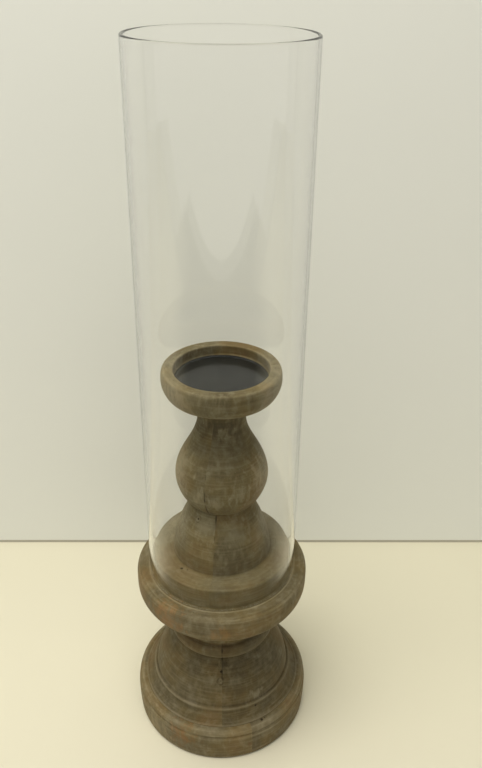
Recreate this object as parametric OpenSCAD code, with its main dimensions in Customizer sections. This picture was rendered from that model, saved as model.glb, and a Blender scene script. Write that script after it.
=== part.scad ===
// Hurricane candle holder: a turned wood stand, clamped by a steel tie rod,
// with a loose glass cylinder round the candle cup and a lift-out drip pan.
// Frame: millimetres, +Z up, origin on the floor under the stand's axis, front towards -Y.

/* [Glass cylinder] */
// Outside diameter of the glass
glass_d = 150; // [140:1:160]
// Height of the glass
glass_h = 508; // [400:1:560]
// Wall thickness of the glass
glass_wall = 3; // [2.5:0.1:4]
// Rounding of the polished rims
glass_lip = 1.2; // [0.6:0.1:1.2]

/* [Stand] */
// Widest diameter of the plinth
plinth_d = 188.8; // [180:0.1:200]
// Height of the plinth's top ledge above the floor
plinth_top = 40; // [38:0.5:50]
// Height of the pedestal, from the plinth to the gallery ring
pedestal_h = 86; // [84:0.5:100]
// Height of the gallery ring, up to the ledge that carries the glass
ring_h = 70; // [68:0.5:80]
// How far the ring stands out beyond the glass
ring_overhang = 13.3; // [8:0.1:20]
// Free space between the shoulder's step and the inside of the glass
seat_gap = 2; // [1:0.1:4]
// Height of the shoulder, from the ledge to the foot of the baluster
shoulder_h = 83.5; // [80:0.5:95]
// Height of the baluster
baluster_h = 106.5; // [104:0.5:125]
// Widest diameter of the baluster
baluster_d = 90.8; // [84:0.1:96]

/* [Candle cup] */
// Height of the candle cup with its flared foot
cup_h = 39.6; // [38:0.1:44]
// Outside diameter of the cup
cup_d = 111.8; // [108:0.1:120]
// Diameter of the recess that takes the candle
recess_d = 88.8; // [80:0.1:90]
// Depth of the recess
recess_depth = 12.3; // [8:0.1:14]
// Thickness of the drip pan's sheet
pan_sheet = 1.2; // [0.8:0.1:1.6]
// Height of the drip pan's turned-up edge
pan_edge_h = 2.6; // [2:0.1:3]

/* [Fastenings] */
// Diameter of the tie rod
rod_d = 8; // [6:0.5:8]
// Width across the flats of the nuts
nut_flats = 13; // [10:0.5:13]
// Thickness of the nuts
nut_h = 6.5; // [5:0.1:6.8]
// Outside diameter of the washers
washer_d = 24; // [20:0.5:26]
// Thickness of the washers
washer_h = 1.6; // [1:0.1:2]
// Thickness of the felt under the plinth
felt_h = 1.2; // [1:0.1:3]

/* [Joint lines] */
// Turn of the plinth's glue line from the front, towards +X
plinth_seam = 20; // [-45:1:45]
// Turn of the pedestal's glue line
pedestal_seam = 0; // [-45:1:45]
// Turn of the shoulder's glue line
shoulder_seam = -10; // [-45:1:45]
// Turn of the baluster's glue line
baluster_seam = -21; // [-45:1:45]

/* [Hidden] */

$fn = 96;
curve_steps = 10;

// Heights of the joints between the turned blocks
z_pedestal = plinth_top;
z_ring = z_pedestal + pedestal_h;
z_ledge = z_ring + ring_h;
z_baluster = z_ledge + shoulder_h;
z_cup = z_baluster + baluster_h;
z_rim = z_cup + cup_h;
z_recess = z_rim - recess_depth;

// Radii that follow from the driving sizes
plinth_r = plinth_d / 2;
glass_r = glass_d / 2;
ring_r = glass_r + ring_overhang;
step_r = glass_r - glass_wall - seat_gap;
bulb_r = baluster_d / 2;
cup_r = cup_d / 2;
recess_r = recess_d / 2;
neck_r = 50;
waist_r = 23;

// Room round the hardware, and the counterbores that hold it
bore_r = rod_d / 2 + 0.4;
well_r = washer_d / 2 + 1.5;
lower_well_top = felt_h + 12;
upper_well_floor = z_recess - 10;
rod_past_nut = 0.8;
felt_inset = 9;

// The pan lies in a seat that is a little narrower than the recess
pan_gap = 0.3;
seat_r = recess_r - 0.6;
seat_top = z_recess + pan_edge_h + 0.2;

// Dowels: [radius, length, distance from the axis, height of the joint, turn of the pair]
large_dowel = [5, 28];
small_dowel = [3, 18];
dowel_gap = 0.1;
plinth_dowels = [45, z_pedestal, plinth_seam / 2];
pedestal_dowels = [32, z_ring, pedestal_seam];
ring_dowels = [45, z_ledge, shoulder_seam];
shoulder_dowels = [17, z_baluster, (shoulder_seam + baluster_seam) / 2];
cup_dowels = [15, z_cup, baluster_seam];

wood = "#6f634c";
steel = "#a9adb0";

// Points of a cubic curve from a to d with handles b and c. The first point is left out,
// so that stretches of an outline follow one another without doubles.
function curve(a, b, c, d) = [
    for (i = [1:curve_steps])
        let (t = i / curve_steps, s = 1 - t)
            s * s * s * a + 3 * s * s * t * b + 3 * s * t * t * c + t * t * t * d
];

// ---- Outlines of the turned blocks: [radius, height], from the bottom outwards and up ----

function plinth_outline() = let (
    r = plinth_r,
    z = plinth_top,
    foot = [r - 1, felt_h + 0.7],
    belly = [r - 0.2, z - 10],
    groove = [r - 1.6, z - 6.6],
    brow = [r - 1, z - 5.2],
    ledge = [r - 5.8, z]
) concat(
    [[well_r, felt_h], [r - 1.7, felt_h], foot],
    curve(foot, [r - 0.2, 12], [r + 0.2, 22], belly),
    [[r - 1.4, z - 8.4], groove, brow],
    curve(brow, [r - 1.6, z - 2], [r - 3.2, z], ledge),
    [[bore_r, z], [bore_r, lower_well_top], [well_r, lower_well_top]]
);

function pedestal_outline() = let (
    z = z_pedestal,
    top = z_ring,
    lip = [plinth_r - 9.2, z + 1.2],
    cove_top = [plinth_r - 17.8, z + 10],
    fillet = [plinth_r - 18.4, z + 14.6],
    bell_foot = [plinth_r - 21.8, z + 16.3],
    bell_top = [neck_r + 2.5, top - 21.5],
    bead_low = [neck_r + 2.4, top - 18],
    bead_high = [neck_r + 2, top - 3.4]
) concat(
    [[bore_r, z], [lip[0], z], lip],
    curve(lip, [lip[0] - 4.4, z + 2.5], [cove_top[0] + 1.4, z + 5.5], cove_top),
    [[fillet[0], z + 10.8], fillet],
    curve(fillet, fillet + [0, 0.8], fillet + [-0.8, 1.4], fillet + [-1.4, 1.5]),
    [bell_foot],
    curve(bell_foot, bell_foot + [-1.1, 14.5], bell_top + [10, -14], bell_top),
    [bell_top + [-1.1, 1.8], bead_low + [-1, -0.6], bead_low],
    curve(bead_low, [neck_r + 7, top - 16], [neck_r + 7, top - 6], bead_high),
    [[neck_r, top - 2.4], [neck_r, top], [bore_r, top]]
);

function ring_outline() = let (
    z = z_ring,
    top = z_ledge,
    cove_low = [neck_r, z + 4],
    cove_end = [ring_r - 12.3, z + 35.5],
    side_low = [ring_r, z + 53],
    side_high = [ring_r, top - 7],
    edge = [ring_r - 3, top - 0.6]
) concat(
    [[bore_r, z], [neck_r, z], cove_low],
    curve(cove_low, cove_low + [1, 16], cove_end + [-12, -3.5], cove_end),
    curve(cove_end, cove_end + [7, 1.5], side_low + [0, -10], side_low),
    [side_high],
    curve(side_high, side_high + [0, 4], edge + [1.8, -0.4], edge),
    [edge + [-0.7, -0.6], [ring_r - 4.6, top], [bore_r, top]]
);

function shoulder_outline() = let (
    z = z_ledge,
    top = z_baluster,
    step_top = z + 24,
    wall_end = [step_r, step_top - 3],
    flat_edge = [step_r - 2, step_top - 0.7],
    dome_foot = [step_r - 20.1, step_top],
    dome_top = [step_r - 33.2, top - 14],
    neck_low = [step_r - 38.5, top - 2]
) concat(
    [[bore_r, z], [step_r - 0.8, z], wall_end],
    curve(wall_end, wall_end + [0, 1.6], flat_edge + [1.2, 0.1], flat_edge),
    [dome_foot],
    curve(dome_foot, dome_foot + [-0.7, 17], dome_top + [6.8, -14.5], dome_top),
    curve(dome_top, dome_top + [-2.4, 2], neck_low + [1.2, -5.5], neck_low),
    [[neck_low[0] - 1, top], [bore_r, top]]
);

function baluster_outline() = let (
    z = z_baluster,
    top = z_cup,
    foot = [bulb_r - 15.9, z],
    widest = [bulb_r, z + 32],
    waist = [waist_r, top - 10]
) concat(
    [[bore_r, z], foot],
    curve(foot, foot + [6, 2], widest + [0.2, -13.5], widest),
    curve(widest, widest + [0, 25.5], waist + [0.2, -25], waist),
    [[waist_r + 0.5, top], [bore_r, top]]
);

function cup_outline() = let (
    z = z_cup,
    foot = [waist_r + 0.5, z],
    under = [cup_r - 8.4, z + 13.3],
    widest = [cup_r, z_rim - 9.8],
    rim = [cup_r - 2.8, z_rim]
) concat(
    [[bore_r, z], foot],
    curve(foot, foot + [1.3, 7.5], under + [-11, -2.5], under),
    curve(under, under + [3.5, 1], widest + [-0.3, -7.5], widest),
    curve(widest, widest + [0, 6.2], rim + [2.2, 0], rim),
    [
        [recess_r + 0.8, z_rim], [recess_r + 0.4, z_rim - 0.3], [recess_r, z_rim - 0.8],
        [recess_r, seat_top], [seat_r, seat_top], [seat_r, z_recess],
        [well_r, z_recess], [well_r, upper_well_floor], [bore_r, upper_well_floor]
    ]
);

// ---- Helpers ----

// Half of a turned block: a glued board on one side of the plane through the axis
// that meets the front at the given turn
module turned_half(outline, seam, right) {
    rotate([0, 0, seam + (right ? -90 : 90)])
        rotate_extrude(angle = 180)
            polygon(outline);
}

// A pair of dowels, one in each half, centred on the joint
module dowel_pair(dowel, seat, gap = 0) {
    for (side = [0, 180])
        rotate([0, 0, seat[2] + side])
            translate([seat[0], 0, seat[1] - dowel[1] / 2 - gap])
                cylinder(r = dowel[0] + gap, h = dowel[1] + 2 * gap);
}

module washer(z) {
    translate([0, 0, z])
        difference() {
            cylinder(d = washer_d, h = washer_h);
            translate([0, 0, -1])
                cylinder(r = bore_r, h = washer_h + 2);
        }
}

// Hexagon nut with its corners turned off at both faces
module hex_nut(z) {
    corner_r = nut_flats / 2 / cos(30);
    translate([0, 0, z])
        difference() {
            intersection() {
                cylinder(r = corner_r, h = nut_h, $fn = 6);
                rotate_extrude()
                    polygon([
                        [0, 0], [nut_flats / 2, 0], [corner_r, 0.6],
                        [corner_r, nut_h - 0.6], [nut_flats / 2, nut_h], [0, nut_h]
                    ]);
            }
            translate([0, 0, -1])
                cylinder(d = rod_d, h = nut_h + 2);
        }
}

// ---- Stand ----

module felt_disc() {
    color("#3b3d38")
        difference() {
            cylinder(r = plinth_r - felt_inset, h = felt_h);
            translate([0, 0, -1])
                cylinder(r = well_r + 1, h = felt_h + 2);
        }
}

module plinth_half(right) {
    color(wood)
        difference() {
            turned_half(plinth_outline(), plinth_seam, right);
            dowel_pair(large_dowel, plinth_dowels, dowel_gap);
        }
}

module pedestal_half(right) {
    color(wood)
        difference() {
            turned_half(pedestal_outline(), pedestal_seam, right);
            dowel_pair(large_dowel, plinth_dowels, dowel_gap);
            dowel_pair(large_dowel, pedestal_dowels, dowel_gap);
        }
}

module gallery_ring() {
    color(wood)
        difference() {
            rotate_extrude()
                polygon(ring_outline());
            dowel_pair(large_dowel, pedestal_dowels, dowel_gap);
            dowel_pair(large_dowel, ring_dowels, dowel_gap);
        }
}

module shoulder_half(right) {
    color(wood)
        difference() {
            turned_half(shoulder_outline(), shoulder_seam, right);
            dowel_pair(large_dowel, ring_dowels, dowel_gap);
            dowel_pair(small_dowel, shoulder_dowels, dowel_gap);
        }
}

module baluster_half(right) {
    color(wood)
        difference() {
            turned_half(baluster_outline(), baluster_seam, right);
            dowel_pair(small_dowel, shoulder_dowels, dowel_gap);
            dowel_pair(small_dowel, cup_dowels, dowel_gap);
        }
}

module candle_cup() {
    color(wood)
        difference() {
            rotate_extrude()
                polygon(cup_outline());
            dowel_pair(small_dowel, cup_dowels, dowel_gap);
        }
}

// ---- Loose pieces ----

// Shallow pressed pan that covers the floor of the recess
module drip_pan() {
    r = seat_r - pan_gap;
    color("#23262a")
        rotate_extrude()
            polygon([
                [0, z_recess], [r - 0.8, z_recess], [r, z_recess + 0.8],
                [r, z_recess + pan_edge_h], [r - pan_sheet, z_recess + pan_edge_h],
                [r - pan_sheet, z_recess + pan_sheet], [0, z_recess + pan_sheet]
            ]);
}

// Open tube with rounded rims, standing on the ledge
module glass_cylinder() {
    half_wall = glass_wall / 2;
    color("#dfe9e4", 0.3)
        translate([0, 0, z_ledge])
            rotate_extrude()
                translate([glass_r - glass_wall, 0])
                    union() {
                        translate([0, glass_lip])
                            square([glass_wall, glass_h - 2 * glass_lip]);
                        translate([glass_lip, 0])
                            square([glass_wall - 2 * glass_lip, glass_h]);
                        for (x = [glass_lip, glass_wall - glass_lip])
                            for (y = [glass_lip, glass_h - glass_lip])
                                translate([x, y])
                                    circle(r = glass_lip, $fn = 32);
                    }
}

// ---- Fastenings ----

module tie_rod() {
    low = lower_well_top - washer_h - nut_h - rod_past_nut;
    high = upper_well_floor + washer_h + nut_h + rod_past_nut;
    color(steel)
        translate([0, 0, low])
            cylinder(d = rod_d, h = high - low);
}

module lower_washer() {
    color(steel)
        washer(lower_well_top - washer_h);
}

module lower_nut() {
    color(steel)
        hex_nut(lower_well_top - washer_h - nut_h);
}

module upper_washer() {
    color(steel)
        washer(upper_well_floor);
}

module upper_nut() {
    color(steel)
        hex_nut(upper_well_floor + washer_h);
}

module large_dowels() {
    color("#c9a672")
        for (seat = [plinth_dowels, pedestal_dowels, ring_dowels])
            dowel_pair(large_dowel, seat);
}

module small_dowels() {
    color("#c9a672")
        for (seat = [shoulder_dowels, cup_dowels])
            dowel_pair(small_dowel, seat);
}

felt_disc();
plinth_half(false);  // plinth_left
plinth_half(true);  // plinth_right
pedestal_half(false);  // pedestal_left
pedestal_half(true);  // pedestal_right
gallery_ring();
shoulder_half(false);  // shoulder_left
shoulder_half(true);  // shoulder_right
baluster_half(false);  // baluster_left
baluster_half(true);  // baluster_right
candle_cup();
drip_pan();
glass_cylinder();
tie_rod();
lower_washer();
lower_nut();
upper_washer();
upper_nut();
large_dowels();
small_dowels();
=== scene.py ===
import math

import bpy
import numpy as np
from mathutils import Matrix, Vector


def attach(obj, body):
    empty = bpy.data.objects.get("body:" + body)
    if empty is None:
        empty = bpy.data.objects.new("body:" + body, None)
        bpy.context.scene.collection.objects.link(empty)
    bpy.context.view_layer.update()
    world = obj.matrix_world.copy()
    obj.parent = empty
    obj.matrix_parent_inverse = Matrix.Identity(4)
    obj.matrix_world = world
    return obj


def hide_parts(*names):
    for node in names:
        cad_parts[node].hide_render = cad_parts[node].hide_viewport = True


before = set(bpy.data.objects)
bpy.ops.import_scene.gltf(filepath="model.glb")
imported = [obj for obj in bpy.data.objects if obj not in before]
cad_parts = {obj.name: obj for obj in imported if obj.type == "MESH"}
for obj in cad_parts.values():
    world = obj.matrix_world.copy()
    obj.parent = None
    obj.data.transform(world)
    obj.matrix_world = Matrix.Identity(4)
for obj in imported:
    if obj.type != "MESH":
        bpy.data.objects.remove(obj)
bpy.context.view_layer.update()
print("frame:", len(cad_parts), "CAD nodes loaded")

mm = 0.001  # the sizes in the dictionaries are millimetres, Blender's are metres


def linear(hexColour):
    # sRGB hex to linear light: c / 12.92 up to 0.04045, above it ((c + 0.055) / 1.055) to the power 2.4
    channels = [int(hexColour[i:i + 2], 16) / 255 for i in (1, 3, 5)]
    return tuple(c / 12.92 if c <= 0.04045 else ((c + 0.055) / 1.055) ** 2.4 for c in channels) + (1.0,)


def addNode(tree, kind, settings=None, links=None):
    # Adds one node. A setting is a property, or an input by name or number. A link is a node, or one of its
    # outputs
    node = tree.nodes.new(kind)
    for key, value in (settings or {}).items():
        if isinstance(key, str) and hasattr(node, key):
            setattr(node, key, value)
    for key, value in (settings or {}).items():
        if not (isinstance(key, str) and hasattr(node, key)):
            node.inputs[key].default_value = value
    for key, source in (links or {}).items():
        output = source if isinstance(source, bpy.types.NodeSocket) else source.outputs[0]
        tree.links.new(output, node.inputs[key])
    return node


# the camera stands about 0.6 m in front of the stand and 0.76 m above the table, and looks down at it
view = {
    "back": 633,     # mm from the stand's axis, towards the front
    "height": 763,   # mm above the table
    "down": 29.33,   # degrees below level
    "right": 1.62,   # degrees turned towards +X, which leaves the stand left of the middle
    "lean": 0.69,    # degrees that the camera is tipped, so that upright things lean to the right
    "lens": 36.98,   # mm, on a sensor 36 mm along its long side
    "sensor": 36,    # mm
}
cameraData = bpy.data.cameras.new("camera")
cameraData.lens = view["lens"]
cameraData.sensor_width = view["sensor"]
cameraData.sensor_fit = "AUTO"
camera = bpy.data.objects.new("camera", cameraData)
bpy.context.scene.collection.objects.link(camera)
camera.location = (0, -view["back"] * mm, view["height"] * mm)
turned = Matrix.Rotation(-math.radians(view["right"]), 4, "Z")
pitched = Matrix.Rotation(math.radians(90 - view["down"]), 4, "X")
leaned = Matrix.Rotation(math.radians(view["lean"]), 4, "Z")
camera.rotation_euler = (turned @ pitched @ leaned).to_euler()
bpy.context.scene.camera = camera
bpy.context.scene.view_settings.view_transform = "Standard"


def trace(start, stretches, spacing):
    # Points at an even spacing along a path. A stretch of one point is a line to it, and one of three points
    # b, c, d is the cubic (1-t)^3 a + 3 (1-t)^2 t b + 3 (1-t) t^2 c + t^3 d from the last point a
    dense = [np.array([start], float)]
    t = np.linspace(0, 1, 81)[1:, None]
    for stretch in stretches:
        a = dense[-1][-1]
        points = np.array(stretch, float)
        if len(points) == 1:
            dense.append(a + (points[0] - a) * t)
        else:
            b, c, d = points
            dense.append((1 - t) ** 3 * a + 3 * (1 - t) ** 2 * t * b + 3 * (1 - t) * t ** 2 * c + t ** 3 * d)
    path = np.concatenate(dense)
    run = np.concatenate([[0], np.cumsum(np.hypot(*np.diff(path, axis=0).T))])
    even = np.linspace(0, run[-1], max(2, round(run[-1] / spacing) + 1))
    return np.stack([np.interp(even, run, path[:, k]) for k in (0, 1)], axis=1)


def smoothed(values, radius, spacing):
    # Each value becomes the mean of its neighbours under a bell curve; the two ends stay where they are
    half = int(3 * radius / spacing) + 1
    bell = np.exp(-0.5 * (np.arange(-half, half + 1) * spacing / radius) ** 2)
    padded = np.concatenate([
        2 * values[:1] - values[half:0:-1], values, 2 * values[-1:] - values[-2:-half - 2:-1]
    ])
    bell /= bell.sum()
    columns = [np.convolve(column, bell, "valid") for column in padded.reshape(len(padded), -1).T]
    return np.stack(columns, axis=1).reshape(values.shape)


def ripple(turn, run, seed, count, mostRound, length):
    # A sum of sines with whole numbers of waves round the axis, and waves about length long along the outline
    rng = np.random.default_rng(seed)
    total = np.zeros(np.broadcast(turn, run).shape)
    for _ in range(count):
        around = rng.integers(0, mostRound + 1)
        along = 2 * math.pi / (length * rng.uniform(0.6, 1.7))
        total += np.sin(around * turn + along * run + rng.uniform(0, 2 * math.pi))
    return total / math.sqrt(count / 2)


def crowded(first, last, count, focus):
    # Places from first to last, packed closer round each (place, width, gain) in focus: the running sum of
    # 1 + gain * bell curve is cut into equal shares
    place = np.linspace(first, last, 4000)
    density = np.ones_like(place)
    for middle, width, gain in focus:
        density += gain * np.exp(-0.5 * ((place - middle) / width) ** 2)
    share = np.concatenate([[0], np.cumsum((density[1:] + density[:-1]) / 2)])
    return np.interp(np.linspace(0, share[-1], count), share, place)


def meshObject(name, points, faces, attributes=None):
    # A smooth-shaded object from points in mm, crisp where it turns by over 48 degrees. An attribute has one
    # value per point
    mesh = bpy.data.meshes.new(name)
    mesh.from_pydata(points * mm, [], faces)
    for key, values in (attributes or {}).items():
        layer = mesh.attributes.new(key, "FLOAT", "POINT")
        layer.data.foreach_set("value", values.astype(np.float32).ravel())
    mesh.polygons.foreach_set("use_smooth", np.ones(len(mesh.polygons), bool))
    mesh.set_sharp_from_angle(angle=math.radians(48))
    mesh.update()
    piece = bpy.data.objects.new(name, mesh)
    bpy.context.scene.collection.objects.link(piece)
    return piece


def turnedSolid(name, loopRadius, loopHeight, turns, closed, attributes=None):
    # Carries a closed outline round the axis: x = r sin(turn), y = -r cos(turn), so that turn 0 is the front
    # and +X a quarter turn on. Rows go along the outline, columns round it. A part turn gets two flat ends
    rows, columns = loopRadius.shape
    x, y = loopRadius * np.sin(turns), -loopRadius * np.cos(turns)
    points = np.stack([x, y, np.broadcast_to(loopHeight, x.shape)], axis=2).reshape(-1, 3)
    i, j = np.meshgrid(np.arange(rows), np.arange(columns if closed else columns - 1), indexing="ij")
    up, on = (i + 1) % rows, (j + 1) % columns
    quads = np.stack([i * columns + j, i * columns + on, up * columns + on, up * columns + j], axis=2)
    faces = quads.reshape(-1, 4).tolist()
    if not closed:
        faces.append((np.arange(rows) * columns).tolist())
        faces.append((np.arange(rows)[::-1] * columns + columns - 1).tolist())
    return meshObject(name, points, faces, attributes)


def reach(*nodes):
    # Widest radius round the axis, lowest and highest point of CAD nodes, in mm
    co = np.concatenate([np.array([v.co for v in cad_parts[n].data.vertices]) for n in nodes])
    return np.hypot(co[:, 0], co[:, 1]).max() / mm, co[:, 2].min() / mm, co[:, 2].max() / mm


# how all the wood was turned, in mm
lathe = {
    "spacing": 0.55,     # between rows along the outline
    "arris": 0.45,       # that corners are rounded by sanding
    "toolMark": 0.022,   # depth of the rings that the turning tool leaves
    "toolPitch": 2.6,    # from ring to ring
    "sway": 0.2,         # that the wood has moved since it was turned
    "swayLength": 60,
    "seamDepth": 0.5,    # the open line where two boards have let go a little
    "seamWidth": 0.7,
    "boreRadius": 4.4,   # hole for the tie rod
    "wellRadius": 13.5,  # counterbore for a nut and its washer
}

# The turned blocks from the foot up, in mm.
# start, shown: the outline that can be seen, as (inset from the widest radius, height above the block's foot)
# inner: bore and counterbore, from the top down
# seam: where the glue line between two half blocks lies, in degrees round from the front
# gape: (height, width, strength) of places where the glue line is open
# pits: (degrees round, inset, height, size, depth, radius of a knot's ring or 0)
# wear: how pale the arrises are. Places painted pale for light, as (inset, height, width, share): painted
# highlight, and painted light on lit faces
# columns: how many strips each piece has round the axis. seed: picks its tool marks
blocks = {
    "plinth": {
        "nodes": ("plinth_left", "plinth_right"), "seam": 20, "wear": 0.7, "seed": 11, "columns": 150,
        "start": (1.7, 0),
        "shown": [
            [(1.0, 0.7)], [(0.2, 10.8), (-0.2, 20.8), (0.2, 28.8)], [(1.4, 30.4)], [(1.6, 32.2)],
            [(1.0, 33.6)], [(1.6, 36.8), (3.2, 38.8), (5.8, 38.8)], [(9.2, 38.8)],
        ],
        "inner": [("bore", 38.8), ("bore", 12), ("well", 12), ("well", 0)],
        "gape": [(20, 14, 0.3)],
        "pits": [(29, 7.4, 38.8, 1.3, 0.9, 0), (31.5, 7.9, 38.8, 0.8, 0.5, 0), (-64, 1, 16, 0.9, 0.6, 0)],
    },
    "pedestal": {
        "nodes": ("pedestal_left", "pedestal_right"), "seam": 0, "wear": 0.75, "seed": 23, "columns": 150,
        "start": (0, 0),
        "shown": [
            [(0, 1.2)], [(4.4, 2.5), (7.2, 5.5), (8.6, 10)], [(9.2, 10.8)], [(9.2, 14.6)],
            [(9.2, 15.4), (10, 16), (10.6, 16.1)], [(12.6, 16.3)],
            [(13.7, 30.8), (22.7, 50.5), (32.7, 64.5)], [(33.8, 66.3)], [(33.8, 67.4)], [(32.8, 68)],
            [(28.2, 70), (28.2, 80), (33.2, 82.6)], [(35.2, 83.6)], [(35.2, 86)],
        ],
        "inner": [("bore", 86), ("bore", 0)],
        "gape": [(78, 7, 1.1), (60, 8, 0.8), (48, 6, 0.3)],
        "pits": [
            (-1, 26.5, 54, 1.1, 0.9, 0), (-1.5, 20.8, 45.5, 1.5, 0.3, 3.4), (-1.5, 20.8, 45.5, 0.9, 0.4, 0),
            (28, 9.6, 10.8, 1.2, 0.7, 0),
        ],
    },
    "gallery_ring": {
        "nodes": ("gallery_ring",), "wear": 0.12, "seed": 37, "columns": 288,
        "start": (38.3, 0),
        "shown": [
            [(38.3, 4)], [(37.3, 20), (24.3, 32), (12.3, 35.5)], [(5.3, 37), (0, 43), (0, 53)], [(0, 63)],
            [(0, 67), (1.2, 69), (3, 69.4)], [(3.7, 68.8)], [(4.6, 70)], [(19.1, 70)],
        ],
        "inner": [("bore", 70), ("bore", 0)],
        "pits": [(52, 0, 60, 0.8, 0.5, 0), (-20, 8, 70, 0.8, 0.4, 0)],
        "paintedLight": [(12.7, 70, 0.8, 0.55)],  # painted highlight: a pale ring on the ledge, under the glass's lower rim, standing for the bright line that the rim catches
    },
    "shoulder": {
        "nodes": ("shoulder_left", "shoulder_right"), "seam": -10, "wear": 0.1, "seed": 41, "columns": 140,
        "start": (0.8, 0),
        "shown": [
            [(0, 21)], [(0, 22.6), (0.8, 23.4), (2, 23.3)], [(20.1, 24)],
            [(20.8, 41), (26.4, 55), (33.2, 69.5)], [(35.6, 71.5), (37.3, 76), (38.5, 81.5)], [(39.5, 83.5)],
        ],
        "inner": [("bore", 83.5), ("bore", 0)],
        "gape": [(79, 6, 0.9), (66, 7, 0.45), (45, 10, 0.2)],
        "pits": [
            (-46, 15.5, 24, 1.2, 1.0, 0), (-40, 17.5, 24, 0.8, 0.5, 0), (-43, 36.5, 75, 1.1, 0.7, 0),
            (-43, 36.5, 75, 0.9, 0.3, 3.2),
        ],
        "paintedLight": [(11, 24, 8, 0.3), (0, 10, 9, 0.3)],  # painted light: the step's flat top and its wall, made paler where light falls on them
    },
    "baluster": {
        "nodes": ("baluster_left", "baluster_right"), "seam": -21, "wear": 0.0, "seed": 59, "columns": 130,
        "start": (15.9, 0),
        "shown": [
            [(9.9, 2), (-0.2, 18.5), (0, 32)], [(0, 57.5), (22.2, 71.5), (22.4, 96.5)], [(21.9, 106.5)],
        ],
        "inner": [("bore", 106.5), ("bore", 0)],
        "gape": [(8, 10, 1.1), (26, 14, 0.7), (50, 10, 0.25)],
        "pits": [(27, 1, 40, 0.8, 0.3, 0)],
    },
    "candle_cup": {
        "nodes": ("candle_cup",), "wear": 0.3, "seed": 67, "columns": 256,
        "start": (32.4, 0),
        "shown": [
            [(31.1, 7.5), (19.4, 10.8), (8.4, 13.3)], [(4.9, 14.3), (0.3, 22.3), (0, 29.8)],
            [(0, 36), (0.6, 39.6), (2.8, 39.6)], [(10.7, 39.6)], [(11.1, 39.3)], [(11.5, 38.8)],
            [(11.5, 30.1)], [(12.1, 30.1)], [(12.1, 27.3)],
        ],
        "inner": [("well", 27.3), ("well", 17.3), ("bore", 17.3), ("bore", 0)],
        "pits": [],
    },
}


def outlineOf(block):
    # The eased outline in mm as (radius, height) rows, and how sharply it turns, in radians per mm: above
    # nought at an arris, below it in a hollow
    widest, low, _ = reach(*block["nodes"])

    def place(point):
        # (inset, height) to (radius, height above the table)
        return widest - point[0], low + point[1]

    shown = trace(place(block["start"]), [[place(p) for p in s] for s in block["shown"]], lathe["spacing"])
    shown = smoothed(shown, lathe["arris"], lathe["spacing"])
    way = np.unwrap(np.arctan2(*np.gradient(shown, axis=0).T[::-1]))
    bend = smoothed(np.gradient(way) / lathe["spacing"], 0.9, lathe["spacing"])
    radii = {"bore": lathe["boreRadius"], "well": lathe["wellRadius"]}
    inner = np.array([(radii[key], low + height) for key, height in block["inner"]])
    return shown, bend, inner, widest, low


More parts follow.
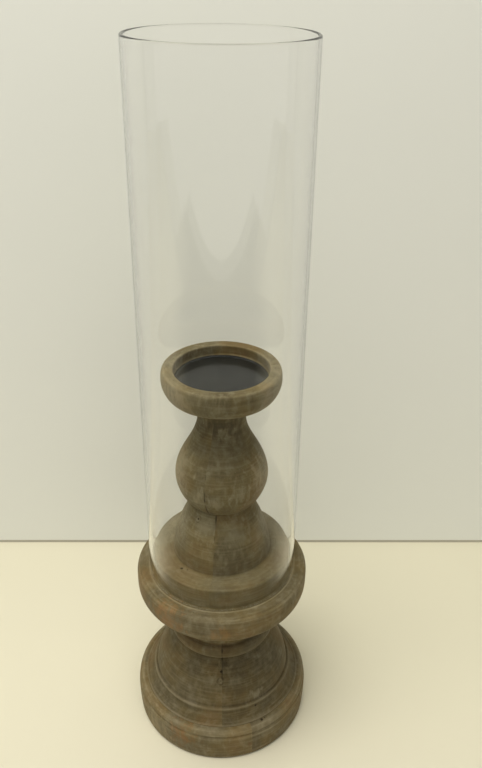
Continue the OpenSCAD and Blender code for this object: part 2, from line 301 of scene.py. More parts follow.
def turnedWood(name, block, first, last, closed, seed):
    # The outline, moved along its own normal by tool marks, the wood's slow movement, open seams and pits. A
    # seam gapes by the sum of its bell curves over the height. A pit is a bell curve, or a ring round a knot
    shown, bend, inner, widest, low = outlineOf(block)
    run = np.arange(len(shown)) * lathe["spacing"]
    focus = [] if closed else [(first, 0.012, 5.0), (last, 0.012, 5.0)]
    pits = [(math.radians(p[0]), *p[1:]) for p in block["pits"]]
    pits = [((p[0] - first) % (2 * math.pi) + first, *p[1:]) for p in pits]
    focus += [(p[0], 0.03 + 0.013 * p[5], 2.0) for p in pits if p[0] < last]
    turns = crowded(first, last, block["columns"] + (1 if closed else 0), focus)[:-1 if closed else None]
    grid, along = turns[None, :], run[:, None]
    tangent = np.gradient(shown, axis=0)
    normal = np.stack([tangent[:, 1], -tangent[:, 0]], axis=1)
    normal /= np.linalg.norm(normal, axis=1, keepdims=True)
    depth = lathe["toolMark"] * (1 - ripple(grid, along, block["seed"], 9, 1, lathe["toolPitch"])) / 2
    depth += lathe["sway"] * (1 - ripple(grid, along, block["seed"] + 1, 7, 3, lathe["swayLength"])) / 3
    opened = np.zeros_like(depth)
    if not closed:
        gap = np.minimum(grid - first, last - grid) * shown[:, :1]
        up = shown[:, 1:] - low
        gape = 0.12 + sum(deep * np.exp(-((up - at) / wide) ** 2) for at, wide, deep in block["gape"])
        gape = gape * np.clip(0.8 + 0.35 * ripple(0 * grid, along, seed, 5, 0, 12), 0.3, 1.3)
        opened += gape * np.exp(-(gap / lathe["seamWidth"]) ** 2)
    for turn, inset, height, size, deep, ring in pits:
        at = np.argmin(np.hypot(shown[:, 0] - (widest - inset), shown[:, 1] - (low + height)))
        aside = (grid - turn + math.pi) % (2 * math.pi) - math.pi
        angle = np.arctan2(aside * shown[at, 0], along - run[at])
        away = np.hypot(aside * shown[at, 0], along - run[at]) - ring * (1 + 0.14 * np.sin(2 * angle + 1))
        uneven = 1 - (0.45 if ring else 0) * (1 + np.sin(3 * angle + 2)) / 2
        opened += deep * uneven / lathe["seamDepth"] * np.exp(-(away / size) ** 2)
    depth += lathe["seamDepth"] * opened
    ends = np.clip(np.minimum(along, run[-1] - along) / 2.0, 0, 1)
    depth = depth * (0.25 + 0.75 * ends)
    radius = shown[:, :1] - normal[:, :1] * depth
    height = shown[:, 1:] - normal[:, 1:] * depth
    innerGrid = np.broadcast_to(inner[:, :1], (len(inner), len(turns)))
    innerHeight = np.broadcast_to(inner[:, 1:], innerGrid.shape)

    def full(values):
        # the values over the shown rows, and nought over the bore's
        return np.concatenate([np.broadcast_to(values, depth.shape), np.zeros(innerGrid.shape)])

    wornAndLit = block["wear"] * np.clip(bend * 1.6, 0, 1)
    # places painted pale for light add to the paleness of the arrises
    for inset, high, wide, share in block.get("paintedLight", ()):
        off = np.hypot(shown[:, 0] - (widest - inset), shown[:, 1] - (low + high))
        wornAndLit = wornAndLit + share * np.exp(-(off / wide) ** 2)
    attributes = {
        "wornAndLit": full(wornAndLit[:, None]),
        # painted shade: darker where the outline is concave
        "paintedHollowShade": full(np.clip(-bend[:, None] * 2.2, 0, 1)),
        "opened": full(np.clip(opened, 0, 1)),
    }
    loopRadius, loopHeight = np.concatenate([radius, innerGrid]), np.concatenate([height, innerHeight])
    piece = turnedSolid(name, loopRadius, loopHeight, turns, closed, attributes)
    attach(piece, "stand")
    return piece


mixFactor, mixA, mixB, mixOut = 0, 6, 7, 2  # sockets of a Mix node that mixes colours

# mango wood stained grey-brown and rubbed back, with white wash left in its grain
woodLook = {
    "stain": "#6e6140",   # the grey-brown stain as it lies on sound wood
    "greyed": "#655c44",  # where it has gone grey
    "warm": "#7c5b40",    # where rubbing has let the reddish wood through
    "wash": "#a09880",    # dried white wash in the pores and scratches
    "grimeAndShade": "#2a2115",   # dark dust and stain held in cracks, pits and grain, and painted shade in hollows
    "arris": "#a3987c",   # edges sanded pale by use and touch, and places of painted light
    "dust": "#f0dcb4",    # sheen of fine dust
    "fibre": 1.3,         # mm, width of the fibres, drawn coarser than the real 0.3 mm so that they show
    "fibreLength": 34,    # mm
    "line": 2.4,          # mm, height of the streaks that turning and rubbing leave round the wood
    "lineLength": 42,     # mm
    "washWidth": 5,       # mm, blotches of wash that stayed in the grain
    "yearRing": 5.5,      # mm, width of one year's growth
    "patch": 38,          # mm, patches where the stain took unevenly
    "smudge": 13,         # mm, smudges of dirt and handling
    "relief": 0.07,       # mm, height of the fibres and streaks
}


def woodMaterial(name, pith, tone, marks=(), washed=0.2):
    # Mango wood, turned, stained and lime washed: dull, soft streaks round it, pale blotches in the grain.
    # pith: where the tree's heart lay, in mm. tone: lightness of the board. washed: how much wash has stayed.
    # marks: (turn, radius, height, size, colour, strength) of a stain, a pale place of wash, painted light or
    # painted shade, in degrees and mm
    material = bpy.data.materials.new(name)
    material.use_nodes = True
    tree = material.node_tree
    tree.nodes.clear()
    look = woodLook
    place = addNode(tree, "ShaderNodeTexCoord").outputs["Object"]
    grown = addNode(tree, "ShaderNodeMapping", {"Location": tuple(v * mm for v in pith)}, {"Vector": place})
    level = addNode(tree, "ShaderNodeVectorMath", {"operation": "MULTIPLY", 1: (1, 1, 0)}, {0: place})
    radius = addNode(tree, "ShaderNodeVectorMath", {"operation": "LENGTH"}, {0: level}).outputs["Value"]
    apart = addNode(tree, "ShaderNodeSeparateXYZ", None, {0: grown})
    patches = addNode(tree, "ShaderNodeTexNoise", {"Scale": 1 / (look["patch"] * mm), "Detail": 3.0}, {
        "Vector": grown
    })
    # height minus nine tenths of the radius grows both up a side and inwards over a flat top
    slant = addNode(tree, "ShaderNodeMath", {"operation": "MULTIPLY_ADD", 1: -0.9}, {
        0: radius, 2: apart.outputs["Z"]
    })
    slantRoom = addNode(tree, "ShaderNodeCombineXYZ", None, {
        "X": apart.outputs["X"], "Y": apart.outputs["Y"], "Z": slant
    })
    streakPlace = addNode(tree, "ShaderNodeMapping", {
        "Scale": (1 / look["lineLength"], 1 / look["lineLength"], 1 / look["line"])
    }, {"Vector": slantRoom})
    streaks = addNode(tree, "ShaderNodeTexNoise", {"Scale": 1 / mm, "Detail": 3.0, "Roughness": 0.6}, {
        "Vector": streakPlace
    })
    fibrePlace = addNode(tree, "ShaderNodeMapping", {
        "Rotation": (0.03, -0.05, 0),
        "Scale": (1 / look["fibre"], 1 / look["fibre"], 1 / look["fibreLength"]),
    }, {"Vector": grown})
    fibres = addNode(tree, "ShaderNodeTexNoise", {"Scale": 1 / mm, "Detail": 3.0, "Roughness": 0.65}, {
        "Vector": fibrePlace
    })
    years = addNode(tree, "ShaderNodeTexWave", {
        "wave_type": "RINGS", "rings_direction": "Z", "Scale": 0.314 / (look["yearRing"] * mm),
        "Distortion": 7.0, "Detail": 3.0, "Detail Scale": 0.6,
    }, {"Vector": grown})
    blotchPlace = addNode(tree, "ShaderNodeMapping", {
        "Scale": (1 / look["washWidth"], 1 / look["washWidth"], 0.4 / look["washWidth"])
    }, {"Vector": grown})
    blotches = addNode(tree, "ShaderNodeTexNoise", {"Scale": 1 / mm, "Detail": 4.0, "Roughness": 0.6}, {
        "Vector": blotchPlace
    })

    def tinted(colour, source, low, high, strength, tint):
        # Lays a tint over the colour where source rises from low to high
        share = addNode(tree, "ShaderNodeMapRange", {"From Min": low, "From Max": high, "To Max": strength}, {
            "Value": source
        })
        return addNode(tree, "ShaderNodeMix", {"data_type": "RGBA", mixB: linear(tint)}, {
            mixFactor: share.outputs["Result"], mixA: colour
        }).outputs[mixOut]

    colour = addNode(tree, "ShaderNodeRGB").outputs[0]
    colour.default_value = linear(look["stain"])
    colour = tinted(colour, patches.outputs["Fac"], 0.42, 0.6, 1.0, look["greyed"])
    colour = tinted(colour, patches.outputs["Fac"], 0.48, 0.33, 0.22, look["warm"])
    colour = tinted(colour, years.outputs["Fac"], 0.45, 1.0, 0.06, look["grimeAndShade"])
    colour = tinted(colour, fibres.outputs["Fac"], 0.5, 0.78, 0.12, look["grimeAndShade"])
    colour = tinted(colour, streaks.outputs["Fac"], 0.5, 0.72, 0.2, look["wash"])
    colour = tinted(colour, streaks.outputs["Fac"], 0.5, 0.28, 0.22, look["grimeAndShade"])
    smudges = addNode(tree, "ShaderNodeTexNoise", {
        "Scale": 1 / (look["smudge"] * mm), "Detail": 3.0, "Roughness": 0.6, "Distortion": 0.6
    }, {"Vector": slantRoom})
    colour = tinted(colour, smudges.outputs["Fac"], 0.5, 0.7, 0.2, look["grimeAndShade"])
    colour = tinted(colour, smudges.outputs["Fac"], 0.48, 0.3, 0.2, look["wash"])
    where = addNode(tree, "ShaderNodeMath", {"operation": "MULTIPLY_ADD", 1: 0.45}, {
        0: patches, 2: blotches.outputs["Fac"]
    })
    colour = tinted(colour, where.outputs[0], 0.74, 0.96, washed, look["wash"])
    colour = tinted(colour, where.outputs[0], 0.66, 0.5, 0.1, look["warm"])
    for turn, far, high, size, tint, strength in marks:
        spot = (far * mm * math.sin(math.radians(turn)), -far * mm * math.cos(math.radians(turn)), high * mm)
        away = addNode(tree, "ShaderNodeVectorMath", {"operation": "DISTANCE", 1: spot}, {0: place})
        ragged = addNode(tree, "ShaderNodeMath", {"operation": "MULTIPLY_ADD", 1: 4 * size * mm}, {
            0: blotches.outputs["Fac"], 2: away.outputs["Value"]
        })
        colour = tinted(colour, ragged.outputs[0], size * 2.9 * mm, size * 2.1 * mm, strength, tint)
    wornAndLit = addNode(tree, "ShaderNodeAttribute", {"attribute_name": "wornAndLit"}).outputs["Fac"]
    paintedHollowShade = addNode(tree, "ShaderNodeAttribute", {"attribute_name": "paintedHollowShade"}).outputs["Fac"]
    opened = addNode(tree, "ShaderNodeAttribute", {"attribute_name": "opened"}).outputs["Fac"]
    patchy = addNode(tree, "ShaderNodeMapRange", {"From Min": 0.3, "From Max": 0.6, "To Min": 0.35}, {
        "Value": patches.outputs["Fac"]
    })
    wornAndLitShare = addNode(tree, "ShaderNodeMath", {"operation": "MULTIPLY"}, {
        0: patchy.outputs["Result"], 1: wornAndLit
    })
    # arrises, and the places of painted light and painted highlight, go pale
    colour = tinted(colour, wornAndLitShare.outputs[0], 0.0, 1.0, 0.8, look["arris"])
    # painted shade in the concave places of the outline
    colour = tinted(colour, paintedHollowShade, 0.15, 0.9, 0.15, look["grimeAndShade"])
    colour = tinted(colour, opened, 0.2, 0.9, 0.85, look["grimeAndShade"])
    colour = addNode(tree, "ShaderNodeMix", {
        "data_type": "RGBA", "blend_type": "MULTIPLY", mixFactor: 1.0, mixB: (tone, tone, tone, 1)
    }, {mixA: colour}).outputs[mixOut]

    fine = addNode(tree, "ShaderNodeMath", {"operation": "MULTIPLY_ADD", 1: 0.7}, {
        0: streaks.outputs["Fac"], 2: fibres.outputs["Fac"]
    })
    bump = addNode(tree, "ShaderNodeBump", {"Strength": 0.4, "Distance": look["relief"] * mm}, {
        "Height": fine
    })
    rough = addNode(tree, "ShaderNodeMapRange", {"To Min": 0.72, "To Max": 0.95}, {
        "Value": fibres.outputs["Fac"]
    })
    surface = addNode(tree, "ShaderNodeBsdfPrincipled", {
        "IOR": 1.5, "Specular IOR Level": 0.35, "Sheen Weight": 0.15, "Sheen Roughness": 0.4,
        "Sheen Tint": linear(look["dust"]),
    }, {
        "Base Color": colour, "Roughness": rough.outputs["Result"], "Normal": bump
    })
    addNode(tree, "ShaderNodeOutputMaterial", None, {"Surface": surface})
    return material


boardLooks = {
    "plinth_left": {"pith": (40, 130, 20), "tone": 1.16, "marks": [
        # painted light: the pale mark at -50 degrees, on the plinth's lit left side
        (-28, 94, 24, 18, "#86603c", 0.5), (19, 94, 18, 4, "#6a4028", 0.4), (-50, 93, 14, 26, "#a3987c", 0.4)
    ]},
    "plinth_right": {"pith": (-90, 60, 70), "tone": 1.07},
    "pedestal_left": {"pith": (70, -30, 10), "tone": 0.95, "marks": [
        (-1.5, 64, 85, 3.5, "#a09880", 0.5), (0, 54, 103, 7, "#2a2115", 0.4),
        # painted shade: the large faint dark mark at the front of the neck, under the ring
        (0, 50, 112, 40, "#2a2115", 0.15)
    ]},
    "pedestal_right": {"pith": (-60, 90, 30), "tone": 0.81, "marks": [
        (-1.5, 64, 85, 3.5, "#a09880", 0.5), (30, 72, 62, 8, "#a09880", 0.5), (0, 54, 103, 7, "#2a2115", 0.4),
        # painted shade: the large faint dark mark at the front of the neck, under the ring
        (0, 50, 112, 40, "#2a2115", 0.12)
    ]},
    "gallery_ring": {"pith": (25, 55, 0), "tone": 1.1, "marks": [
        (-38, 88, 180, 24, "#967049", 0.45), (-2, 88, 176, 15, "#8c6a42", 0.4)
    ]},
    "shoulder_left": {"pith": (110, 20, 60), "tone": 1.17, "marks": [
        # painted light: the pale mark at -24 degrees, on the dome's left side
        (-9, 37, 271, 7, "#2a2115", 0.5), (-24, 38, 268, 20, "#a09880", 0.3)
    ]},
    "shoulder_right": {"pith": (-40, 140, 10), "tone": 1.07, "marks": [
        # painted light: the pale mark at 18 degrees, on the dome's right side. Painted shade: the large dark
        # mark at 4 degrees, on the front of the dome
        (-9, 37, 271, 7, "#2a2115", 0.4), (18, 38, 268, 20, "#a09880", 0.3), (4, 50, 244, 30, "#2a2115", 0.2)
    ]},
    "baluster_left": {"pith": (35, 60, 5), "tone": 1.1, "marks": [
        # painted light: the large pale mark at -65 degrees, on the bulb's left side
        (-33, 43, 308, 13, "#a09880", 0.45), (-65, 44, 330, 24, "#a3987c", 0.3),
        # painted shadow under the cup, with some stain: the dark mark round the waist
        (0, 23, 384, 28, "#2a2115", 0.5)
    ]},
    "baluster_right": {"pith": (-75, 45, 20), "tone": 1.08, "marks": [
        (-8, 43, 304, 12, "#a09880", 0.45), (24, 43, 312, 14, "#a09880", 0.4),
        # painted shadow under the cup, with some stain: the dark mark round the waist. Painted light: the
        # pale mark at 52 degrees, on the bulb's right side
        (0, 23, 384, 28, "#2a2115", 0.5), (52, 43, 326, 15, "#a3987c", 0.4)
    ]},
    "candle_cup": {"pith": (60, 20, 15), "tone": 1.08, "washed": 0.3, "marks": [
        # painted shadow under the cup, with some stain: the dark mark round the waist. Painted light: the
        # pale mark at -35 degrees, on the cup's left side
        (0, 25, 391, 16, "#2a2115", 0.3), (-35, 53, 408, 26, "#b3a88c", 0.25),
        (4, 50, 430, 15, "#2a2115", 0.3)
    ]},
}

for key, block in blocks.items():
    whole = len(block["nodes"]) == 1
    for side, node in enumerate(block["nodes"]):
        # the right board runs from the seam round +X to the back, the left one from there on
        first = 0.0 if whole else math.radians(block["seam"] + (180 if side == 0 else 0))
        last = first + (2 * math.pi if whole else math.pi)
        piece = turnedWood(node + "_turned", block, first, last, whole, block["seed"] + 5)
        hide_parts(node)
        piece.data.materials.append(woodMaterial("limedMangoWood_" + node, **boardLooks[node]))
    print("wood:", key)


glass = {
    "wall": 3.0,         # mm
    "lip": 1.45,         # mm, rounding of the fire-polished rims
    "rows": 60,
    "columns": 360,
    "wave": 0.02,        # mm, slow waves that drawing leaves in the tube
    "waveLength": 240,   # mm
    "seed": 83,
    "film": 111,         # mm, patches of a faint film of dust
    "shade": "#f6f7f4",  # what is left of lamp light behind one face of the wall
    "depth": "#a2ae96",  # tint of the light that runs down inside the wall
}


def glassTube():
    # A closed tube: outside wall up, half-round rims, inside wall down, with slow waves along both walls
    widest, low, high = reach("glass_cylinder")
    lip, wall = glass["lip"], glass["wall"]
    quarter = np.radians(np.linspace(0, 90, 7))

    def corner(r, z, start):
        # A quarter circle of the lip round (r, z), from the angle start on
        return np.stack([r + lip * np.cos(quarter + start), z + lip * np.sin(quarter + start)], 1)

    # close rows next to the rims keep the smooth shading of the rounding off the straight wall
    upright = np.linspace(low + lip, high - lip, glass["rows"])[1:-1]
    nextRows = np.array([0.06, 0.4]) + lip
    upright = np.concatenate([low + nextRows, upright, high - nextRows[::-1]])
    loop = np.concatenate([
        corner(widest - lip, low + lip, -math.pi / 2),
        np.stack([np.full_like(upright, widest), upright], 1),
        corner(widest - lip, high - lip, 0),
        corner(widest - wall + lip, high - lip, math.pi / 2),
        np.stack([np.full_like(upright, widest - wall), upright[::-1]], 1),
        corner(widest - wall + lip, low + lip, math.pi),
    ])
    turns = np.linspace(0, 2 * math.pi, glass["columns"], endpoint=False)
    waves = ripple(turns[None, :], loop[:, 1:], glass["seed"], 8, 5, glass["waveLength"])
    sway = glass["wave"] * (waves - 2) / 2
    return turnedSolid("glass_tube", loop[:, :1] + sway, loop[:, 1:], turns, True)


def glassMaterial():
    # Clear borosilicate glass, drawn and fire polished: hardly tinted face on, grey-green down the length of
    # the wall. Lamps and diffuse light pass straight through, so that what stands inside is lit
    material = bpy.data.materials.new("borosilicateGlass")
    material.use_nodes = True
    tree = material.node_tree
    tree.nodes.clear()
    place = addNode(tree, "ShaderNodeTexCoord").outputs["Object"]
    film = addNode(tree, "ShaderNodeTexNoise", {"Scale": 1 / (glass["film"] * mm), "Detail": 2.0}, {
        "Vector": place
    })
    rough = addNode(tree, "ShaderNodeMapRange", {"To Min": 0.0, "To Max": 0.012}, {"Value": film})
    surface = addNode(tree, "ShaderNodeBsdfPrincipled", {
        "Base Color": (1, 1, 1, 1), "IOR": 1.46, "Transmission Weight": 1.0
    }, {"Roughness": rough.outputs["Result"]})
    clear = addNode(tree, "ShaderNodeBsdfTransparent", {"Color": linear(glass["shade"])})
    path = addNode(tree, "ShaderNodeLightPath")
    through = addNode(tree, "ShaderNodeMath", {"operation": "MAXIMUM"}, {
        0: path.outputs["Is Shadow Ray"], 1: path.outputs["Is Diffuse Ray"]
    })
    mixed = addNode(tree, "ShaderNodeMixShader", None, {0: through, 1: surface, 2: clear})
    depth = addNode(tree, "ShaderNodeVolumeAbsorption", {"Color": linear(glass["depth"]), "Density": 1.0})
    addNode(tree, "ShaderNodeOutputMaterial", None, {"Surface": mixed, "Volume": depth})
    return material


pan = {
    "sheet": 1.2,           # mm
    "corner": 0.8,          # mm, rounding where the floor turns up
    "pole": 2,              # mm, radius of the innermost ring of points
    "spacing": 0.5,         # mm between rows
    "sway": 0.05,           # mm that the floor is out of flat
    "swayLength": 50,       # mm
    "seed": 97,
    "columns": 240,
    "enamel": "#1d1f1f",
    "dusty": "#222423",
    "haze": 26.3,           # mm, patches of wax haze
    "peel": 1.54,           # mm, grain of the enamel's skin
}


def dripPan():
    # A pressed dish: flat floor from the pole outwards, small rounded corner, turned-up edge with eased lips.
    # The upper face is out of flat by a ripple that dies out towards the pole
    widest, low, high = reach("drip_pan")
    sheet, corner = pan["sheet"], pan["corner"]
    inside, floor = widest - sheet, low + sheet
    outside = trace((pan["pole"], low), [
        [(widest - corner, low)], [(widest - 0.35, low), (widest, low + 0.35), (widest, low + corner)],
        [(widest, high - 0.3)], [(widest, high), (inside, high), (inside, high - 0.3)],
        [(inside, floor + 0.8)], [(inside, floor + 0.3), (inside - 0.3, floor), (inside - 0.8, floor)],
        [(pan["pole"], floor)],
    ], pan["spacing"])
    turns = np.linspace(0, 2 * math.pi, pan["columns"], endpoint=False)
    rows, columns = len(outside), len(turns)
    waves = ripple(turns[None, :], outside[:, :1], pan["seed"], 6, 3, pan["swayLength"])
    sway = pan["sway"] * waves * np.clip(outside[:, :1] / widest, 0, 1) * (outside[:, :1] < widest - 2)
    radius = np.broadcast_to(outside[:, :1], (rows, columns))
    height = outside[:, 1:] + np.abs(sway) * (outside[:, 1:] > low + sheet / 2)
    points = np.stack([radius * np.sin(turns), -radius * np.cos(turns), height], axis=2).reshape(-1, 3)
    i, j = np.meshgrid(np.arange(rows - 1), np.arange(columns), indexing="ij")
    on = (j + 1) % columns
    here, beyond = i * columns, (i + 1) * columns
    faces = np.stack([here + j, here + on, beyond + on, beyond + j], axis=2).reshape(-1, 4).tolist()
    under, above = len(points), len(points) + 1
    ring, following = np.arange(columns), (np.arange(columns) + 1) % columns
    faces += np.stack([np.full(columns, under), following, ring], 1).tolist()
    last = (rows - 1) * columns
    faces += np.stack([np.full(columns, above), last + ring, last + following], 1).tolist()
    points = np.concatenate([points, [[0, 0, low], [0, 0, height[-1].mean()]]])
    return meshObject("drip_pan_pressed", points, faces)


def panMaterial():
    # Mild steel, pressed and stove enamelled black: smooth and half glossy, with a haze of wax and dust
    material = bpy.data.materials.new("blackStovedEnamel")
    material.use_nodes = True
    tree = material.node_tree
    tree.nodes.clear()
    place = addNode(tree, "ShaderNodeTexCoord").outputs["Object"]
    haze = addNode(tree, "ShaderNodeTexNoise", {
        "Scale": 1 / (pan["haze"] * mm), "Detail": 4.0, "Roughness": 0.6
    }, {"Vector": place})
    peel = addNode(tree, "ShaderNodeTexNoise", {"Scale": 1 / (pan["peel"] * mm), "Detail": 2.0}, {
        "Vector": place
    })
    share = addNode(tree, "ShaderNodeMapRange", {"From Min": 0.35, "From Max": 0.7}, {"Value": haze})
    colour = addNode(tree, "ShaderNodeMix", {
        "data_type": "RGBA", mixA: linear(pan["enamel"]), mixB: linear(pan["dusty"])
    }, {mixFactor: share.outputs["Result"]}).outputs[mixOut]
    rough = addNode(tree, "ShaderNodeMapRange", {"To Min": 0.16, "To Max": 0.24}, {"Value": haze})
    bump = addNode(tree, "ShaderNodeBump", {"Strength": 0.1, "Distance": 0.02 * mm}, {"Height": peel})
    surface = addNode(tree, "ShaderNodeBsdfPrincipled", {"IOR": 1.5}, {
        "Base Color": colour, "Roughness": rough.outputs["Result"], "Normal": bump
    })
    addNode(tree, "ShaderNodeOutputMaterial", None, {"Surface": surface})
    return material


felt = {
    "hole": 14.5,       # mm, radius of the hole round the lower nut
    "nap": 0.18,        # mm, unevenness of the lower face
    "napLength": 5,     # mm
    "spacing": 1.2,     # mm between rows
    "seed": 101,
    "columns": 300,
    "dark": "#2f302b",
    "pale": "#55564d",
    "matting": 2.38,    # mm, clumps of fibres
}


def feltDisc():
    # A flat washer of felt with a soft edge and a slightly uneven lower face
    widest, low, high = reach("felt_disc")
    hole = felt["hole"]
    path = trace((hole, high), [
        [(hole, low + 0.4)], [(hole, low), (hole + 0.4, low), (hole + 0.8, low)], [(widest - 0.8, low)],
        [(widest - 0.3, low), (widest, low + 0.4), (widest, low + 1)], [(widest, high)],
    ], felt["spacing"])
    turns = np.linspace(0, 2 * math.pi, felt["columns"], endpoint=False)
    run = np.arange(len(path))[:, None] * felt["spacing"]
    nap = felt["nap"] * (1 - ripple(turns[None, :], run, felt["seed"], 14, 60, felt["napLength"])) / 4
    nap = np.clip(nap, 0, felt["nap"] * 2)
    height = np.where(path[:, 1:] < high - 0.2, path[:, 1:] + nap, path[:, 1:])
    radius = np.broadcast_to(path[:, :1], height.shape)
    return turnedSolid("felt_disc_soft", radius, height, turns, True)


def feltMaterial():
    # Pressed wool felt, grey-brown: matt, with matted fibres
    material = bpy.data.materials.new("woolFelt")
    material.use_nodes = True
    tree = material.node_tree
    tree.nodes.clear()
    place = addNode(tree, "ShaderNodeTexCoord").outputs["Object"]
    matted = addNode(tree, "ShaderNodeTexNoise", {
        "Scale": 1 / (felt["matting"] * mm), "Detail": 5.0, "Distortion": 2.5
    }, {"Vector": place})
    share = addNode(tree, "ShaderNodeMapRange", {"From Min": 0.35, "From Max": 0.65}, {"Value": matted})
    colour = addNode(tree, "ShaderNodeMix", {
        "data_type": "RGBA", mixA: linear(felt["dark"]), mixB: linear(felt["pale"])
    }, {mixFactor: share.outputs["Result"]}).outputs[mixOut]
    bump = addNode(tree, "ShaderNodeBump", {"Strength": 0.8, "Distance": 0.4 * mm}, {"Height": matted})
    surface = addNode(tree, "ShaderNodeBsdfPrincipled", {"Roughness": 0.95, "Sheen Weight": 0.4}, {
        "Base Color": colour, "Normal": bump
    })
    addNode(tree, "ShaderNodeOutputMaterial", None, {"Surface": surface})
    return material


tube = glassTube()
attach(tube, "glass")
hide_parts("glass_cylinder")
tube.data.materials.append(glassMaterial())

dish = dripPan()
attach(dish, "pan")
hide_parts("drip_pan")
dish.data.materials.append(panMaterial())

pad = feltDisc()
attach(pad, "stand")
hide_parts("felt_disc")
pad.data.materials.append(feltMaterial())
print("glass, pan and felt made")


# the rod, washers, nuts and dowels are the CAD nodes' own shapes
fittings = {
    "plating": "#b4b8ba", "shadow": "#8f9598",
    "spangle": 1.43,      # mm, crystals of the zinc
    "dulling": 6.25,      # mm
    "beech": "#cdab7a", "fleck": "#96703f",
    "fleckWidth": 1.11,   # mm, and eight times as long
}


def zincMaterial():
    # Zinc-plated steel: bright grey with a faint blotchy spangle, duller in patches
    material = bpy.data.materials.new("zincPlatedSteel")
    material.use_nodes = True
    tree = material.node_tree
    tree.nodes.clear()
    place = addNode(tree, "ShaderNodeTexCoord").outputs["Object"]
    spangle = addNode(tree, "ShaderNodeTexVoronoi", {"Scale": 1 / (fittings["spangle"] * mm)}, {
        "Vector": place
    })
    dull = addNode(tree, "ShaderNodeTexNoise", {
        "Scale": 1 / (fittings["dulling"] * mm), "Detail": 3.0
    }, {"Vector": place})
    colour = addNode(tree, "ShaderNodeMix", {
        "data_type": "RGBA", mixA: linear(fittings["plating"]), mixB: linear(fittings["shadow"])
    }, {mixFactor: spangle.outputs["Distance"]}).outputs[mixOut]
    rough = addNode(tree, "ShaderNodeMapRange", {"To Min": 0.25, "To Max": 0.5}, {"Value": dull})
    surface = addNode(tree, "ShaderNodeBsdfPrincipled", {"Metallic": 1.0}, {
        "Base Color": colour, "Roughness": rough.outputs["Result"]
    })
    addNode(tree, "ShaderNodeOutputMaterial", None, {"Surface": surface})
    return material


def dowelMaterial():
    # Beech dowel, milled smooth: pale, with short dark flecks along it
    material = bpy.data.materials.new("beechDowel")
    material.use_nodes = True
    tree = material.node_tree
    tree.nodes.clear()
    place = addNode(tree, "ShaderNodeTexCoord").outputs["Object"]
    stretched = addNode(tree, "ShaderNodeMapping", {"Scale": (1, 1, 0.12)}, {"Vector": place})
    flecks = addNode(tree, "ShaderNodeTexNoise", {
        "Scale": 1 / (fittings["fleckWidth"] * mm), "Detail": 2.0
    }, {"Vector": stretched})
    share = addNode(tree, "ShaderNodeMapRange", {"From Min": 0.45, "From Max": 0.75}, {"Value": flecks})
    colour = addNode(tree, "ShaderNodeMix", {
        "data_type": "RGBA", mixA: linear(fittings["beech"]), mixB: linear(fittings["fleck"])
    }, {mixFactor: share.outputs["Result"]}).outputs[mixOut]
    surface = addNode(tree, "ShaderNodeBsdfPrincipled", {"Roughness": 0.65}, {"Base Color": colour})
    addNode(tree, "ShaderNodeOutputMaterial", None, {"Surface": surface})
    return material


zinc, beech = zincMaterial(), dowelMaterial()
hardware = {
    "tie_rod": zinc, "lower_washer": zinc, "lower_nut": zinc, "upper_washer": zinc, "upper_nut": zinc,
    "large_dowels": beech, "small_dowels": beech,
}
for node, material in hardware.items():
    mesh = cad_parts[node].data
    mesh.materials.clear()
    mesh.materials.append(material)
print("hardware finished")


# the set is a cream table top against a pale wall, in metres
stage = {
    "table": "#e5e1cc", "wall": "#f1f4f1", "joint": "#b9b6aa", "floor": "#3a332a",
    "wallBack": 0.256,   # behind the stand's axis
    "wallTurn": -0.6,    # degrees
    "width": 3.2,
    "tall": 2.4,
    # height of the strip of painted shade at the wall's foot
    "jointHeight": 0.004,
    "front": 0.9,        # from the axis to the table's front edge
    "under": 0.72,       # that the floor lies below the table
    "dimming": 0.95,     # how much of the table the glass doesn't mirror where somebody stands in the way
}


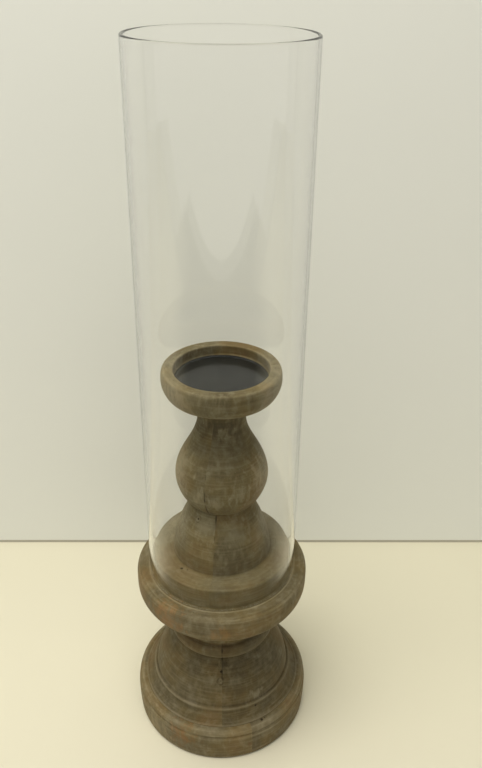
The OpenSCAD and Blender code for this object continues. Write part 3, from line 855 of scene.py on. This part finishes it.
def stageMaterial(name, tint, grain, dimming=0.0):
    # Painted board: plain and dull, with a faint texture that repeats every so many mm. It shows from its
    # front only
    material = bpy.data.materials.new(name)
    material.use_nodes = True
    tree = material.node_tree
    tree.nodes.clear()
    place = addNode(tree, "ShaderNodeTexCoord").outputs["Object"]
    noise = addNode(tree, "ShaderNodeTexNoise", {"Scale": 1 / (grain * mm), "Detail": 4.0}, {
        "Vector": place
    })
    bump = addNode(tree, "ShaderNodeBump", {"Strength": 0.15, "Distance": 0.3 * mm}, {"Height": noise})
    surface = addNode(tree, "ShaderNodeBsdfPrincipled", {
        "Base Color": linear(tint), "Roughness": 0.55, "Specular IOR Level": 0.25
    }, {"Normal": bump})
    # what the glass mirrors of it is dimmed where somebody stands and looks: straight ahead (fully up to 40
    # degrees from the front, not at all from 66 on), and nearer than 0.5 m in the whole front half
    apart = addNode(tree, "ShaderNodeSeparateXYZ", None, {0: place})
    aside = addNode(tree, "ShaderNodeMath", {"operation": "ABSOLUTE"}, {0: apart.outputs["X"]})
    forward = addNode(tree, "ShaderNodeMath", {"operation": "MULTIPLY", 1: -1.0}, {0: apart.outputs["Y"]})
    bearing = addNode(tree, "ShaderNodeMath", {"operation": "ARCTAN2"}, {0: aside, 1: forward})
    distance = addNode(tree, "ShaderNodeVectorMath", {"operation": "LENGTH"}, {0: place}).outputs["Value"]

    def smooth(source, low, high, full):
        # Rises on a smooth step from nought where source is low to full where it is high
        return addNode(tree, "ShaderNodeMapRange", {
            "interpolation_type": "SMOOTHSTEP", "From Min": low, "From Max": high, "To Max": full
        }, {"Value": source}).outputs["Result"]

    near = addNode(tree, "ShaderNodeMath", {"operation": "MULTIPLY"}, {
        0: smooth(distance, 0.5, 0.33, dimming), 1: smooth(bearing, 1.9, 1.1, 1.0)
    })
    facing = addNode(tree, "ShaderNodeMath", {"operation": "MAXIMUM"}, {
        0: near, 1: smooth(bearing, 1.15, 0.7, dimming)
    })
    mirrored = addNode(tree, "ShaderNodeMath", {"operation": "MULTIPLY", "use_clamp": True}, {
        0: addNode(tree, "ShaderNodeLightPath").outputs["Glossy Depth"], 1: facing
    })
    dark = addNode(tree, "ShaderNodeBsdfDiffuse", {"Color": linear(stage["floor"])})
    surface = addNode(tree, "ShaderNodeMixShader", None, {0: mirrored, 1: surface, 2: dark})
    unseen = addNode(tree, "ShaderNodeBsdfTransparent")
    back = addNode(tree, "ShaderNodeNewGeometry").outputs["Backfacing"]
    mixed = addNode(tree, "ShaderNodeMixShader", None, {0: back, 1: surface, 2: unseen})
    addNode(tree, "ShaderNodeOutputMaterial", None, {"Surface": mixed})
    return material


def stagePlane(name, corners, material):
    # One flat face with four corners
    mesh = bpy.data.meshes.new(name)
    mesh.from_pydata(corners, [], [(0, 1, 2, 3)])
    mesh.materials.append(material)
    plane = bpy.data.objects.new(name, mesh)
    bpy.context.scene.collection.objects.link(plane)


wide, front, under = stage["width"], stage["front"], stage["under"]
skew = wide * math.tan(math.radians(stage["wallTurn"]))


def standing(back, top):
    # Corners of an upright face as wide as the set, from the table up, turned a little like the wall
    left, right = (-wide, back - skew), (wide, back + skew)
    return [(*left, 0), (*right, 0), (*right, top), (*left, top)]


wallFoot = standing(stage["wallBack"], 0)
stagePlane("table_top", [(-wide, -front, 0), (wide, -front, 0), wallFoot[1], wallFoot[0]],
           stageMaterial("satinTablePaint", stage["table"], 16.7, stage["dimming"]))
stagePlane("wall", standing(stage["wallBack"], stage["tall"]),
           stageMaterial("mattWallPaint", stage["wall"], 11.1))
# painted shade: a thin grey strip along the wall's foot, where the wall meets the table
stagePlane("wall_joint", standing(stage["wallBack"] - 0.001, stage["jointHeight"]),
           stageMaterial("paintedWallFootShade", stage["joint"], 11.1))
stagePlane("floor", [(x * wide, y * wide, -under) for x, y in ((-1, -1), (1, -1), (1, 1), (-1, 1))],
           stageMaterial("brownFloorBoards", stage["floor"], 25))

# the lamps' places and sizes are in metres, their power in watts
lights = {
    "key": {"at": (-0.4, -0.35, 2.2), "aim": (0, 0, 0), "size": (1.3, 1.3), "power": 38, "tint": "#fffaf0"},
    "fill": {"at": (0.5, -2.4, 0.9), "aim": (0, 0.2, 0.3), "size": (2.0, 1.2), "power": 8, "tint": "#fff6e8"},
}
for name, lamp in lights.items():
    data = bpy.data.lights.new(name, "AREA")
    data.shape = "RECTANGLE"
    data.size, data.size_y = lamp["size"]
    data.energy = lamp["power"]
    data.color = linear(lamp["tint"])[:3]
    thing = bpy.data.objects.new(name, data)
    thing.location = lamp["at"]
    thing.rotation_euler = (Vector(lamp["aim"]) - Vector(lamp["at"])).to_track_quat("-Z", "Y").to_euler()
    thing.visible_glossy = thing.visible_transmission = False  # else the tube mirrors it as a white patch
    bpy.context.scene.collection.objects.link(thing)

# the room's even light: full where it is looked at, less for what it lights, and least in mirror images
room = {"tint": "#f2efe4", "seen": 0.85, "litLess": -0.55, "mirroredLess": -0.7}
world = bpy.data.worlds.new("studio")
world.use_nodes = True
air = world.node_tree
path = addNode(air, "ShaderNodeLightPath")
lighting = addNode(air, "ShaderNodeMath", {
    "operation": "MULTIPLY_ADD", 1: room["litLess"], 2: room["seen"]
}, {0: path.outputs["Is Diffuse Ray"]})
mirrored = addNode(air, "ShaderNodeMath", {"operation": "SUBTRACT", "use_clamp": True}, {
    0: path.outputs["Is Glossy Ray"], 1: path.outputs["Is Transmission Ray"]
})
strength = addNode(air, "ShaderNodeMath", {"operation": "MULTIPLY_ADD", 1: room["mirroredLess"]}, {
    0: mirrored, 2: lighting
})
air.nodes["Background"].inputs["Color"].default_value = linear(room["tint"])
air.links.new(strength.outputs[0], air.nodes["Background"].inputs["Strength"])
bpy.context.scene.world = world
print("set and lights ready")
